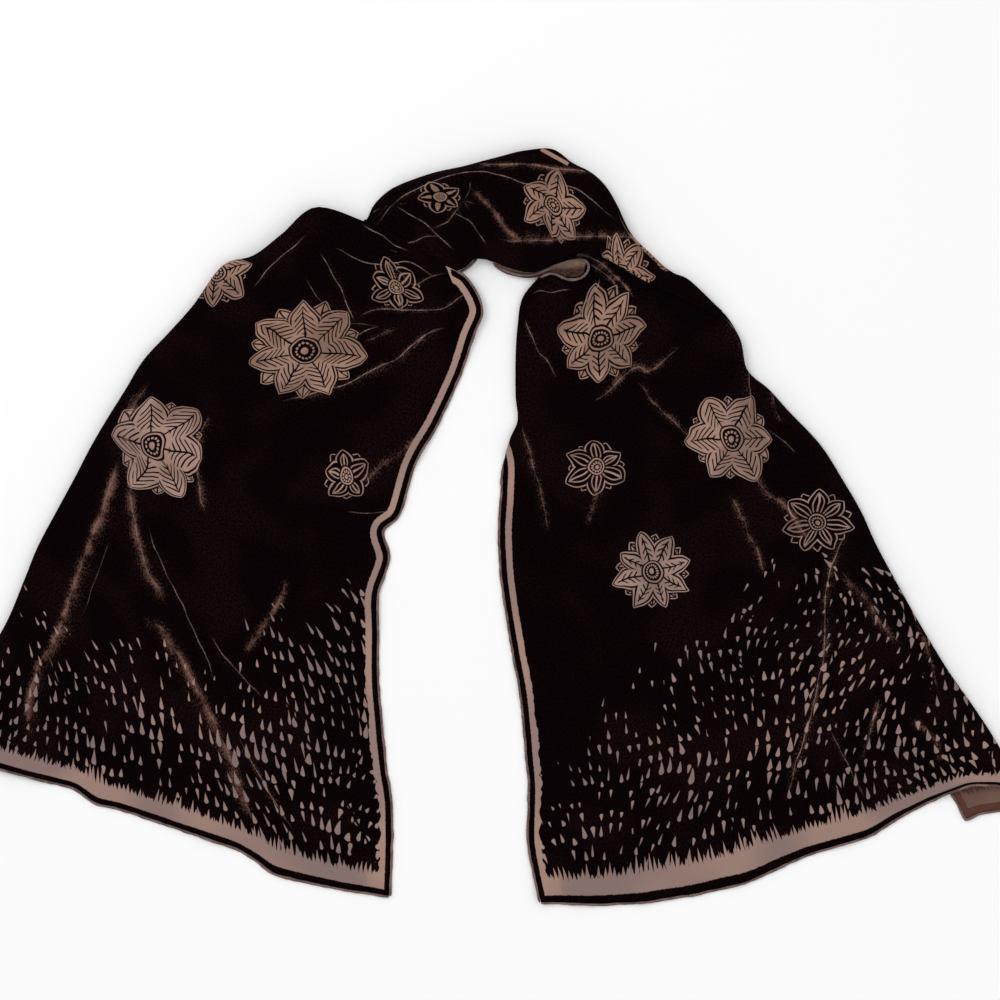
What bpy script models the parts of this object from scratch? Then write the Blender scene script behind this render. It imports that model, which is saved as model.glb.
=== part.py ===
"""Burnout velvet scarf laid flat as an upside-down U, its two long outer sides turned under.

X runs across the two ends, Y from the ends to the neck, Z up from the surface it lies on.
The tables and sizes below are in millimetres. MM turns them into metres as objects are made.
Each fall is one wall of cloth through straight sections, and each section runs from the inner
long side, across the top layer, round the outer fold and back under it. The neck is the
gathered stretch: a rounded solid whose edges show the layers of cloth lying on each other.
"""
import math
from collections import namedtuple

import bmesh
import bpy

MM = 0.001
WALL = 1.4              # cloth with its pile
LAYER_CLEARANCE = 1.0   # air between the top layer and the turned-under one
SEAM_GAP = 0.3
HEM_RADIUS = 1.3        # rolled hem
HEM_BEVEL_STEPS = 2
STEP_RUN = 30.0         # length over which the top layer climbs onto the turned-under one
STEP_LEAD = 6.0         # it is up this far before the turned-under layer's edge
END_SKEW_REACH = 70.0   # how far up the cloth an uneven end is felt
ACROSS_SINGLE = 9       # points across the part that lies on the surface
ACROSS_DOUBLE = 5       # points across the part that lies on the turned-under layer
AROUND_FOLD = 3
ACROSS_UNDER = 4

Section = namedtuple("Section", "inner_x inner_y outer_x outer_y tuck loft rise")
# tuck: width turned under; loft: height of the outer fold; rise: height of the whole section

LEFT_FALL = [
    Section(-88, -369, -539, -221, 87, 8.0, 0.0),
    Section(-86, -317, -513, -172, 95, 8.4, 0.0),
    Section(-87, -274, -490, -130, 102, 9.0, 0.0),
    Section(-92, -241, -469, -93, 110, 9.2, 0.0),
    Section(-97, -190, -452, -52, 118, 9.0, 0.0),
    Section(-100, -152, -439, -20, 124, 9.6, 0.0),
    Section(-100, -105, -421, 14, 130, 10.0, 0.0),
    Section(-100, -67, -402, 49, 134, 9.6, 0.0),
    Section(-89, -32, -387, 78, 138, 9.0, 0.0),
    Section(-95, -4, -372, 104, 140, 9.0, 0.0),
    Section(-78, 14, -352, 136, 140, 9.4, 0.0),
    Section(-63, 63, -333, 167, 138, 10.0, 0.0),
    Section(-40, 104, -308, 194, 134, 10.4, 0.0),
    Section(-18, 152, -284, 221, 128, 10.0, 0.0),
    Section(-5, 190, -254, 261, 120, 9.0, 2.0),
    Section(4, 213, -223, 271, 104, 8.0, 6.0),
    Section(1, 229, -195, 292, 84, 7.0, 8.0),
    Section(-11, 248, -161, 319, 62, 6.4, 8.0),
    Section(-30, 253, -113, 305, 34, 6.0, 8.0),
]

RIGHT_FALL = [
    Section(64, -375, 539, -263, 61, 8.0, 0.0),
    Section(57, -344, 532, -243, 72, 8.4, 0.0),
    Section(52, -312, 522, -220, 84, 9.0, 0.0),
    Section(53, -264, 499, -184, 98, 9.4, 0.0),
    Section(50, -226, 471, -144, 108, 9.6, 0.0),
    Section(45, -172, 443, -98, 118, 10.0, 0.0),
    Section(36, -121, 425, -66, 124, 10.0, 0.0),
    Section(26, -57, 400, -20, 130, 9.6, 0.0),
    Section(23, -7, 384, 15, 134, 9.4, 0.0),
    Section(25, 31, 366, 46, 134, 9.6, 0.0),
    Section(27, 63, 343, 82, 130, 10.0, 0.0),
    Section(33, 87, 311, 116, 122, 9.6, 0.0),
    Section(41, 107, 292, 137, 112, 9.0, 0.0),
    Section(39, 132, 270, 157, 100, 8.4, 0.0),
    Section(39, 171, 263, 187, 88, 7.0, 0.0),
    Section(41, 201, 247, 212, 70, 5.0, 0.0),
    Section(46, 229, 226, 222, 48, 2.8, 0.0),
    Section(64, 251, 200, 236, 30, 2.8, 0.0),
]

Wave = namedtuple("Wave", "across out")
# how far an end stands out past the straight line between its corners, by share of the width

LEFT_END = [
    Wave(0.00, 0), Wave(0.10, 8), Wave(0.19, 13), Wave(0.25, 15), Wave(0.29, 7),
    Wave(0.34, 2), Wave(0.60, 1), Wave(0.65, 4), Wave(0.70, -5), Wave(0.78, -2),
    Wave(0.86, 0), Wave(1.00, 0),
]
RIGHT_END = [
    Wave(0.00, 0), Wave(0.12, 16), Wave(0.21, 24), Wave(0.32, 28), Wave(0.42, 28),
    Wave(0.48, 22), Wave(0.55, 15), Wave(0.69, 11), Wave(0.75, 0), Wave(0.82, -9),
    Wave(0.91, -17), Wave(0.97, -9), Wave(1.00, 0),
]
RIGHT_TOP = [
    Wave(0.00, 0), Wave(0.12, 23), Wave(0.30, 33), Wave(0.60, 23), Wave(0.85, 12),
    Wave(1.00, 6),
]
STRAIGHT = [Wave(0.0, 0), Wave(1.0, 0)]
RIGHT_CORNER_SKEW = 22.0    # the turned-under corner swings out past the end by this much
LEFT_CORNER_SKEW = -8.0

Fold = namedtuple("Fold", "x0 y0 x1 y1 height half_width")

LEFT_FOLDS = [
    Fold(-372, 40, -440, -215, 10, 24),
    Fold(-342, 57, -312, -78, 11, 24),
    Fold(-318, -92, -215, -320, 10, 26),
    Fold(-274, 118, -274, 5, 8, 20),
    Fold(-196, 122, -60, 196, 9, 22),
    Fold(-222, 246, -176, 284, 7, 18),
    Fold(-130, -120, -215, -180, 5, 24),
]
RIGHT_FOLDS = [
    Fold(368, -6, 313, -266, 10, 26),
    Fold(360, -22, 440, -172, 7, 20),
    Fold(118, 78, 112, -6, 8, 20),
    Fold(200, 176, 126, 122, 8, 20),
    Fold(262, 170, 270, 100, 7, 18),
    Fold(280, 48, 330, -20, 7, 18),
    Fold(58, 190, 84, 148, 7, 18),
    Fold(90, -250, 190, -150, 5, 26),
]
FOLD_TAPER = 40.0       # a fold fades out over this length at its ends
FOLD_EDGE_FADE = 24.0   # and over this width before the outer fold

Gather = namedtuple("Gather", "outer_x outer_y inner_x inner_y bottom top")

NECK = [
    Gather(-137, 287, -67, 227, 0.0, 4.0),
    Gather(-113, 305, -30, 253, 0.0, 5.5),
    Gather(-103, 322, -20, 256, 0.0, 10.0),
    Gather(-89, 336, -10, 261, 0.0, 14.0),
    Gather(-70, 346, -3, 267, 0.0, 16.5),
    Gather(-45, 354, 8, 267, 0.0, 18.0),
    Gather(-14, 361, 20, 263, 0.0, 19.0),
    Gather(20, 370, 36, 257, 0.0, 20.0),
    Gather(48, 377, 50, 254, 2.0, 20.0),
    Gather(75, 378, 62, 255, 4.6, 20.0),
    Gather(94, 365, 76, 263, 4.6, 20.0),
    Gather(113, 355, 88, 270, 4.6, 20.5),
    Gather(129, 341, 103, 273, 4.6, 20.0),
    Gather(140, 322, 120, 271, 4.6, 19.0),
    Gather(154, 294, 138, 263, 4.6, 18.0),
    Gather(177, 270, 160, 250, 4.6, 16.5),
    Gather(196, 254, 180, 240, 5.0, 14.5),
    Gather(213, 246, 200, 230, 5.8, 13.0),
    Gather(247, 216, 238, 211, 7.6, 11.5),
]
Lobe = namedtuple("Lobe", "inset height")
# side of the gather from the surface up: inset as a share of its width, height as a share of
# its rise. Each pair of lobes stands for one layer of cloth showing at the edge.
EDGE_LAYERS = [
    Lobe(0.030, 0.00), Lobe(0.000, 0.10), Lobe(0.004, 0.24), Lobe(0.034, 0.30),
    Lobe(0.014, 0.40), Lobe(0.024, 0.54), Lobe(0.060, 0.60), Lobe(0.050, 0.70),
    Lobe(0.090, 0.84),
]
Crown = namedtuple("Crown", "across height")
# top of the gather from its outer edge to its inner one, with its long folds
CROWN = [
    Crown(0.16, 1.00), Crown(0.25, 0.84), Crown(0.34, 0.98), Crown(0.46, 0.86),
    Crown(0.58, 0.84), Crown(0.70, 1.00), Crown(0.82, 0.90),
]

Spot = namedtuple("Spot", "x y z")

NECK_LOOP = [
    Spot(14, 259, 6.4), Spot(31, 254, 6.4), Spot(48, 250, 6.4), Spot(64, 249, 6.4),
    Spot(84, 257, 6.6), Spot(103, 263, 7.0), Spot(112, 258, 7.4), Spot(101, 248, 7.0),
    Spot(86, 249, 6.6), Spot(72, 246, 6.4),
]

PILE = (0.020, 0.006, 0.008)
HEM = (0.17, 0.11, 0.095)


def clear_scene():
    for thing in list(bpy.data.objects):
        bpy.data.objects.remove(thing, do_unlink=True)


def cloth_material(name, colour, roughness):
    material = bpy.data.materials.new(name)
    material.use_nodes = True
    shader = material.node_tree.nodes["Principled BSDF"]
    shader.inputs["Base Color"].default_value = (*colour, 1.0)
    shader.inputs["Roughness"].default_value = roughness
    shader.inputs["Metallic"].default_value = 0.0
    return material


def ease(share):
    share = min(1.0, max(0.0, share))
    return share * share * (3.0 - 2.0 * share)


def wave_at(waves, across):
    for low, high in zip(waves, waves[1:]):
        if across <= high.across:
            share = (across - low.across) / (high.across - low.across)
            return low.out + (high.out - low.out) * share
    return waves[-1].out


def fold_height(folds, x, y):
    """Height that the folds give the top layer at one place: the highest of them there."""
    highest = 0.0
    for fold in folds:
        along_x = fold.x1 - fold.x0
        along_y = fold.y1 - fold.y0
        length = math.hypot(along_x, along_y)
        along = ((x - fold.x0) * along_x + (y - fold.y0) * along_y) / length
        aside = abs((x - fold.x0) * along_y - (y - fold.y0) * along_x) / length
        if aside >= fold.half_width:
            continue
        ends = ease((along + FOLD_TAPER) / FOLD_TAPER)
        ends *= ease((length + FOLD_TAPER - along) / FOLD_TAPER)
        height = fold.height * ends * (1.0 - (aside / fold.half_width) ** 2) ** 2
        highest = max(highest, height)
    return highest


def section_profile(section):
    """Middle of the wall across one section: (distance from the inner side, height, layer)."""
    width = math.hypot(section.outer_x - section.inner_x, section.outer_y - section.inner_y)
    radius = section.loft / 2.0
    lift = WALL + LAYER_CLEARANCE
    step_start = width - section.tuck - STEP_RUN
    double_start = width - section.tuck - STEP_LEAD
    fold_start = width - radius
    points = []
    for index in range(ACROSS_SINGLE):
        points.append((step_start * index / (ACROSS_SINGLE - 1), 0.0, "top"))
    for index in range(ACROSS_DOUBLE + 1):
        share = index / ACROSS_DOUBLE
        distance = double_start + (fold_start - double_start) * share
        height = lift + (section.loft - lift) * math.sin(share * math.pi / 2.0)
        points.append((distance, height, "top"))
    for index in range(1, AROUND_FOLD + 1):
        angle = math.pi * index / (AROUND_FOLD + 1)
        points.append((fold_start + radius * math.sin(angle),
                       radius + radius * math.cos(angle), "fold"))
    for index in range(ACROSS_UNDER):
        share = index / (ACROSS_UNDER - 1)
        points.append((fold_start - (section.tuck - radius) * share, 0.0, "under"))
    return width, points


def section_points(sections, number, end_waves, top_waves, corner_skew, folds):
    """Points of one section in space, its end and top waves and its folds worked in."""
    section = sections[number]
    width, profile = section_profile(section)
    across_x = (section.outer_x - section.inner_x) / width
    across_y = (section.outer_y - section.inner_y) / width
    first, last = sections[0], sections[-1]
    from_end = math.hypot(section.inner_x - first.inner_x, section.inner_y - first.inner_y)
    from_top = math.hypot(section.inner_x - last.inner_x, section.inner_y - last.inner_y)
    end_weight = max(0.0, 1.0 - from_end / END_SKEW_REACH) ** 2
    top_weight = max(0.0, 1.0 - from_top / END_SKEW_REACH) ** 2
    # outwards from the end, square to the section
    out_x, out_y = across_y, -across_x
    if (first.inner_y - last.inner_y) * out_y < 0.0:
        out_x, out_y = -out_x, -out_y
    points = []
    for distance, height, layer in profile:
        share = distance / width
        shift = wave_at(end_waves, share) * end_weight
        shift -= wave_at(top_waves, share) * top_weight
        if layer == "under":
            shift += corner_skew * end_weight * (width - distance) / section.tuck
        x = section.inner_x + across_x * distance + out_x * shift
        y = section.inner_y + across_y * distance + out_y * shift
        z = WALL / 2.0 + height + section.rise
        if layer == "top":
            fade = ease((width - distance - section.loft) / FOLD_EDGE_FADE)
            fade *= ease(from_top / END_SKEW_REACH)
            z += fold_height(folds, x, y) * fade
        points.append((x, y, z))
    return points


def fall_rows(sections, end_waves, top_waves, corner_skew, folds):
    return [section_points(sections, number, end_waves, top_waves, corner_skew, folds)
            for number in range(len(sections))]


def add_mesh(name, bm, material):
    mesh = bpy.data.meshes.new(name)
    bm.to_mesh(mesh)
    bm.free()
    mesh.materials.append(material)
    mesh.shade_smooth()
    thing = bpy.data.objects.new(name, mesh)
    bpy.context.collection.objects.link(thing)
    return thing


def vertices_of(bm, row):
    return [bm.verts.new((x * MM, y * MM, z * MM)) for x, y, z in row]


def make_fall(name, rows, material):
    """A sheet through the sections, thickened to both sides of its middle."""
    bm = bmesh.new()
    grid = [vertices_of(bm, row) for row in rows]
    for lower, upper in zip(grid, grid[1:]):
        for index in range(len(lower) - 1):
            bm.faces.new((lower[index], lower[index + 1], upper[index + 1], upper[index]))
    bm.normal_update()
    bm.faces.ensure_lookup_table()
    if bm.faces[0].normal.z < 0.0:
        bmesh.ops.reverse_faces(bm, faces=bm.faces)
    fall = add_mesh(name, bm, material)
    wall = fall.modifiers.new("cloth_wall", "SOLIDIFY")
    wall.thickness = WALL * MM
    wall.offset = 0.0
    return fall


def gather_ring(gather):
    """One upright ring of the neck: flat below, layered at both sides, folded on top."""
    across_x = gather.inner_x - gather.outer_x
    across_y = gather.inner_y - gather.outer_y
    rise = gather.top - gather.bottom
    shares = [(lobe.inset, lobe.height) for lobe in EDGE_LAYERS]
    shares += [(crown.across, crown.height) for crown in CROWN]
    shares += [(1.0 - lobe.inset, lobe.height) for lobe in reversed(EDGE_LAYERS)]
    return [(gather.outer_x + across_x * across, gather.outer_y + across_y * across,
             gather.bottom + rise * height) for across, height in shares]


def make_neck(name, gathers, material):
    bm = bmesh.new()
    rings = [vertices_of(bm, gather_ring(gather)) for gather in gathers]
    count = len(rings[0])
    for lower, upper in zip(rings, rings[1:]):
        for index in range(count):
            after = (index + 1) % count
            bm.faces.new((lower[index], lower[after], upper[after], upper[index]))
    bm.faces.new(rings[0])
    bm.faces.new(rings[-1])
    bmesh.ops.recalc_face_normals(bm, faces=bm.faces)
    return add_mesh(name, bm, material)


def make_hem(name, spots, material):
    """A rolled hem: a thin round cord of cloth along the spots, closed at its ends."""
    curve = bpy.data.curves.new(name, "CURVE")
    curve.dimensions = "3D"
    curve.bevel_depth = HEM_RADIUS * MM
    curve.bevel_resolution = HEM_BEVEL_STEPS
    curve.use_fill_caps = True
    spline = curve.splines.new("POLY")
    spline.points.add(len(spots) - 1)
    for point, (x, y, z) in zip(spline.points, spots):
        point.co = (x * MM, y * MM, z * MM, 1.0)
    curve.materials.append(material)
    hem = bpy.data.objects.new(name, curve)
    bpy.context.collection.objects.link(hem)
    return hem


def moved_out(spots, side):
    """The spots moved out of the panel's edge in plan, to one side of their line."""
    moved = []
    distance = WALL / 2.0 + SEAM_GAP + HEM_RADIUS
    for number, (x, y, z) in enumerate(spots):
        before = spots[max(0, number - 1)]
        after = spots[min(len(spots) - 1, number + 1)]
        run_x, run_y = after[0] - before[0], after[1] - before[1]
        length = math.hypot(run_x, run_y)
        moved.append((x + side * run_y / length * distance,
                      y - side * run_x / length * distance,
                      max(z, HEM_RADIUS)))
    return moved


def main():
    clear_scene()
    pile = cloth_material("velvet_pile", PILE, 0.95)
    rolled = cloth_material("rolled_hem", HEM, 0.8)

    left = fall_rows(LEFT_FALL, LEFT_END, STRAIGHT, LEFT_CORNER_SKEW, LEFT_FOLDS)
    right = fall_rows(RIGHT_FALL, RIGHT_END, RIGHT_TOP, RIGHT_CORNER_SKEW, RIGHT_FOLDS)
    make_fall("left_fall", left, pile)
    make_fall("right_fall", right, pile)
    make_neck("neck_gather", NECK, pile)

    top_count = ACROSS_SINGLE + ACROSS_DOUBLE
    right_border_rows = 11      # the right side's border turns under above this section
    make_hem("left_side_hem", moved_out([row[0] for row in left[:-1]], 1), rolled)
    make_hem("left_end_hem", moved_out(left[0][:top_count], -1), rolled)
    make_hem("right_side_hem",
             moved_out([row[0] for row in right[:right_border_rows]], -1), rolled)
    make_hem("right_end_hem", moved_out(right[0][:top_count], 1), rolled)
    turned = right[0][-ACROSS_UNDER + 1:]
    make_hem("right_turned_hem", moved_out(turned, -1), rolled)
    make_hem("neck_loop_hem", NECK_LOOP, rolled)


main()
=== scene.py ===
"""Looks of the burnout velvet scarf: cloth with its creases, rolled hems, pile and burned-out
motifs, a pale floor, soft light and the camera straight above, as in the photograph."""

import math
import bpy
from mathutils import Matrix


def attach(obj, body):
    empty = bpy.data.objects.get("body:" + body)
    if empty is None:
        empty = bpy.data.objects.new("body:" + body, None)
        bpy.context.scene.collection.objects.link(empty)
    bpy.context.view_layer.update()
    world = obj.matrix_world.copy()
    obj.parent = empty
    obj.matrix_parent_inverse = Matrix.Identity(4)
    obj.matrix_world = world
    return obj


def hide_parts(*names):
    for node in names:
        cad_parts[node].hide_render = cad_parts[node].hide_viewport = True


bl_info = {
    "name": "Burnout Velvet Scarf",
    "version": (1, 0, 0),
    "blender": (4, 5, 0),
    "location": "3D View > Sidebar > Scarf",
    "description": "A velvet scarf with burned-out motifs, laid flat as an upside-down U",
    "category": "Add Mesh",
}

from collections import namedtuple

import bpy
import numpy as np

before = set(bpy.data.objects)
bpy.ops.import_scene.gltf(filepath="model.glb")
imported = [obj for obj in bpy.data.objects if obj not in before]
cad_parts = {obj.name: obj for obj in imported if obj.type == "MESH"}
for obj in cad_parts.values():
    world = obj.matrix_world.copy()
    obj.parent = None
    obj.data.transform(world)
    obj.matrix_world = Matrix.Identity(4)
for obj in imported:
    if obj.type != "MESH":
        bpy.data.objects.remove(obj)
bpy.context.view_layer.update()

MM = 0.001
TURN = 2.0 * math.pi
CLOTH_WIDTH = 560.0

# ---------------------------------------------------------------- how the scarf lies
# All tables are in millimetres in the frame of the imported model.

# Sections across each fall, from its end up to the neck: x and y of the inner side and of the
# outer side, width turned under at the outer side, height of the outer fold, height of the whole
# section, and width turned under at the inner side.
LEFT_FALL = [
    (-88, -369, -539, -221, 87, 8, 0, 0), (-86, -317, -513, -172, 95, 8.4, 0, 0),
    (-87, -274, -490, -130, 102, 9, 0, 0), (-92, -241, -469, -93, 110, 9.2, 0, 0),
    (-97, -190, -452, -52, 118, 9, 0, 0), (-100, -152, -439, -20, 124, 9.6, 0, 0),
    (-100, -105, -421, 14, 130, 10, 0, 0), (-100, -67, -402, 49, 134, 9.6, 0, 0),
    (-89, -32, -387, 78, 138, 9, 0, 0), (-95, -4, -372, 104, 140, 9, 0, 0),
    (-78, 14, -352, 136, 140, 9.4, 0, 0), (-63, 63, -333, 167, 138, 10, 0, 0),
    (-40, 104, -308, 194, 134, 10.4, 0, 0), (-18, 152, -284, 221, 128, 10, 0, 0),
    (-5, 190, -254, 261, 120, 9, 2, 0), (4, 213, -223, 271, 104, 8, 6, 0),
    (1, 229, -195, 292, 84, 7, 8, 0), (-11, 248, -161, 319, 62, 6.4, 8, 0),
    (-21, 255, -113, 305, 34, 6, 8, 0),
]
RIGHT_FALL = [
    (64, -375, 539, -263, 56, 8, 0, 0), (57, -344, 532, -243, 62, 8.4, 0, 0),
    (52, -312, 522, -220, 76, 9, 0, 0), (53, -264, 499, -184, 98, 9.4, 0, 0),
    (50, -226, 471, -144, 108, 9.6, 0, 0), (45, -172, 443, -98, 118, 10, 0, 0),
    (36, -121, 425, -66, 124, 10, 0, 0), (26, -57, 400, -20, 130, 9.6, 0, 0),
    (23, -7, 384, 15, 134, 9.4, 0, 0), (25, 31, 366, 46, 134, 9.6, 0, 0),
    (27, 63, 343, 82, 130, 10, 0, 2), (33, 87, 311, 116, 122, 9.6, 0, 16),
    (41, 107, 292, 137, 112, 9, 0, 24), (39, 132, 270, 157, 100, 8.4, 0, 28),
    (39, 171, 263, 187, 88, 7, 0, 28), (41, 201, 247, 212, 70, 5, 0, 26),
    (46, 229, 226, 222, 48, 2.8, 0, 22), (64, 251, 200, 236, 30, 2.8, 0, 18),
]

# How far an end stands out past the straight line between its corners: share of the width, mm.
LEFT_END = [
    (0, 0), (0.1, 8), (0.19, 13), (0.25, 15), (0.29, 7), (0.34, 2), (0.6, 1), (0.65, 4), (0.7, -5),
    (0.78, -2), (0.86, 0), (1, 0),
]
RIGHT_END = [
    (0, 0), (0.12, 16), (0.21, 24), (0.32, 28), (0.42, 28), (0.48, 22), (0.55, 15), (0.69, 11),
    (0.75, 0), (0.82, -9), (0.91, -17), (0.97, -9), (1, 0),
]
RIGHT_TOP = [
    (0, 0), (0.12, 23), (0.3, 33), (0.6, 23), (0.85, 12), (1, 6),
]
STRAIGHT = [(0, 0), (1, 0)]

# Sections across the neck, from its left to its right: x and y of the outer side and of the
# inner side, and the heights of its bottom and its top.
NECK = [
    (-137, 287, -67, 227, 0, 4), (-113, 305, -30, 253, 0, 5.5), (-103, 322, -20, 256, 0, 10),
    (-89, 336, -10, 261, 0, 14), (-70, 346, -3, 267, 0, 16.5), (-45, 354, 8, 267, 0, 18),
    (-14, 361, 20, 263, 0, 19), (20, 370, 36, 257, 0, 20), (48, 377, 50, 254, 2, 20),
    (75, 378, 62, 255, 4.6, 20), (94, 365, 76, 263, 4.6, 20), (113, 355, 88, 270, 4.6, 20.5),
    (129, 341, 103, 273, 4.6, 20), (140, 322, 120, 271, 4.6, 19), (154, 294, 138, 263, 4.6, 18),
    (177, 270, 160, 250, 4.6, 16.5), (196, 254, 180, 240, 5, 14.5), (213, 246, 200, 230, 5.8, 13),
    (245, 216, 237, 211, 7.6, 11.5),
]

Crease = namedtuple("Crease", "height left right sharp nap line spots")
# height: of a ridge, or below zero the depth of a trough
# left, right: how far it reaches to each side, seen along its spots; sharp: 1 for a pinched
# crest, 2 for a round one; nap sheen: how brushed its pile is, drawn as a painted sheen beside
# the crease; line: how clear its pale crest is, a painted highlight along it

LEFT_CREASES = [
    (6, 20, 11, 1.7, 1, 0.5, [(-351, 83), (-365, 43), (-375, 13), (-394, -35), (-410, -81),
        (-423, -115), (-437, -137), (-448, -174), (-448, -218)]),
    (-2, 9, 9, 1.6, 0, 0.35, [(-367, -14), (-381, -51), (-394, -89)]),
    (6, 12, 18, 1.6, 0.9, 0.6, [(-324, 147), (-343, 120), (-349, 93), (-343, 48), (-346, 32),
        (-340, -3), (-330, -40), (-316, -67), (-309, -84)]),
    (6, 12, 20, 1.6, 0.9, 0.5, [(-338, -89), (-311, -105), (-300, -126), (-278, -165), (-258, -206),
        (-244, -239), (-233, -270), (-221, -303)]),
    (3, 7, 12, 1.2, 0.1, 0.7, [(-330, 2), (-316, -35), (-295, -78), (-279, -113), (-268, -137),
        (-263, -156)]),
    (3, 8, 12, 1.2, 0.1, 0.6, [(-268, -108), (-246, -137), (-215, -170)]),
    (3, 7, 10, 1.2, 0.3, 0.6, [(-240, -208), (-229, -229), (-209, -264), (-184, -303)]),
    (5, 14, 9, 1.5, 0.5, 0.7, [(-268, 113), (-277, 88), (-279, 60), (-276, 33), (-271, 12)]),
    (6, 9, 20, 1.4, 0.3, 1, [(-197, 125), (-182, 129), (-134, 142), (-107, 156), (-81, 168), (-63, 183),
        (-52, 192), (-30, 200)]),
    (5, 12, 8, 1.3, 0.1, 1, [(-172, 291), (-181, 281), (-200, 265), (-213, 252), (-224, 239)]),
    (4, 9, 6, 1.2, 0.15, 1, [(-156, 274), (-140, 245), (-131, 226), (-122, 203)]),
    (3, 8, 6, 1.2, 0, 0.9, [(-140, 279), (-122, 268), (-107, 263), (-92, 262)]),
    (-2, 10, 8, 1.4, 0, 0.5, [(-172, 250), (-163, 235), (-152, 222), (-134, 208), (-123, 203),
        (-96, 202)]),
    (4, 9, 7, 1.2, 0, 1, [(-88, 270), (-84, 245), (-76, 227), (-75, 213)]),
    (5, 10, 10, 1.3, 0.3, 1, [(-118, 210), (-99, 218), (-75, 217), (-40, 217), (-27, 222), (-18, 229),
        (-4, 236)]),
    (3, 6, 8, 1.2, 0, 1.1, [(-86, 264), (-72, 265), (-59, 261), (-44, 251)]),
    (-3, 8, 6, 1.3, 0.2, 0.6, [(-84, 262), (-75, 252), (-63, 242), (-48, 249), (-29, 254)]),
    (3, 14, 14, 1.6, 0.45, 0.1, [(-56, 92), (-74, 76), (-97, 60), (-114, 43)]),
    (1.5, 6, 6, 1.2, 0, 0.5, [(-130, 15), (-107, 14), (-84, 16)]),
    (4, 10, 12, 1.5, 0.8, 0.1, [(-190, -52), (-198, -75), (-213, -98), (-233, -128)]),
    (3, 8, 10, 1.5, 0.5, 0.1, [(-178, 216), (-193, 203), (-212, 194)]),
    (2, 8, 8, 1.5, 0.4, 0.2, [(-112, 186), (-96, 192), (-78, 200)]),
    (2, 5, 5, 1.2, 0, 1.1, [(-114, 302), (-99, 293), (-85, 284), (-67, 275)]),
    (2, 5, 6, 1.2, 0.1, 0.8, [(-124, 188), (-112, 196), (-98, 201)]),
    (2.5, 6, 6, 1.2, 0.15, 0.8, [(-64, 178), (-54, 190), (-44, 196), (-31, 199)]),
]
RIGHT_CREASES = [
    (4, 8, 8, 1.3, 0.3, 0.8, [(48, 208), (60, 178), (69, 167), (80, 150)]),
    (4, 10, 8, 1.3, 0.1, 0.9, [(101, 207), (106, 219), (111, 230), (121, 240), (123, 250)]),
    (3, 6, 7, 1.2, 1, 0.9, [(94, 272), (110, 271), (122, 265), (134, 255), (147, 243), (158, 228)]),
    (2, 5, 5, 1.2, 0.8, 0.8, [(112, 263), (126, 255), (137, 245), (143, 233)]),
    (6, 9, 16, 1.4, 0.6, 0.7, [(204, 182), (184, 164), (170, 156), (161, 160), (147, 151), (133, 137),
        (116, 124)]),
    (2, 8, 8, 1.3, 0, 0.4, [(168, 186), (133, 160), (118, 144)]),
    (4, 12, 9, 1.4, 0.4, 0.5, [(160, 146), (184, 116), (197, 105), (214, 89), (234, 70)]),
    (6, 3, 26, 1.4, 0.2, 0.8, [(246, 210), (262, 190), (269, 171), (272, 144), (272, 121), (269, 100),
        (264, 86)]),
    (3, 6, 10, 1.3, 0.5, 0.4, [(262, 90), (274, 88), (291, 89)]),
    (3, 6, 8, 1.4, 0.3, 0.2, [(295, 138), (298, 116), (304, 104)]),
    (3, 7, 8, 1.3, 0.1, 0.6, [(291, 97), (305, 86), (318, 74)]),
    (5, 10, 12, 1.4, 0.7, 0.5, [(275, 60), (289, 34), (305, 24), (317, 8), (332, -16)]),
    (4, 10, 12, 1.4, 0.5, 0.4, [(252, 34), (266, 8), (271, -6), (280, -24), (290, -50)]),
    (4, 9, 12, 1.4, 0.4, 0.5, [(44, 104), (55, 68), (64, 31), (72, -6)]),
    (3, 12, 12, 1.6, 0.4, 0.1, [(119, 72), (124, 47), (115, 22), (111, 0)]),
    (6, 18, 14, 1.5, 0.35, 1, [(372, 8), (359, -26), (350, -52), (347, -91), (346, -128), (339, -164),
        (330, -201), (318, -242), (308, -280)]),
    (4, 9, 14, 1.5, 0.7, 0.2, [(360, -40), (373, -56), (392, -77), (403, -95), (427, -122)]),
    (3, 8, 10, 1.4, 0.5, 0.3, [(403, -168), (394, -201), (385, -234)]),
    (3, 10, 10, 1.5, 0.6, 0.1, [(431, -190), (458, -213), (463, -237)]),
    (3, 8, 10, 1.4, 0.2, 0.5, [(353, -202), (371, -238), (387, -270)]),
    (3, 8, 10, 1.5, 0.35, 0.2, [(438, -92), (452, -130), (462, -168)]),
    (3, 8, 8, 1.5, 0.05, 0.9, [(56, 233), (63, 237), (76, 235), (93, 238)]),
]
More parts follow.
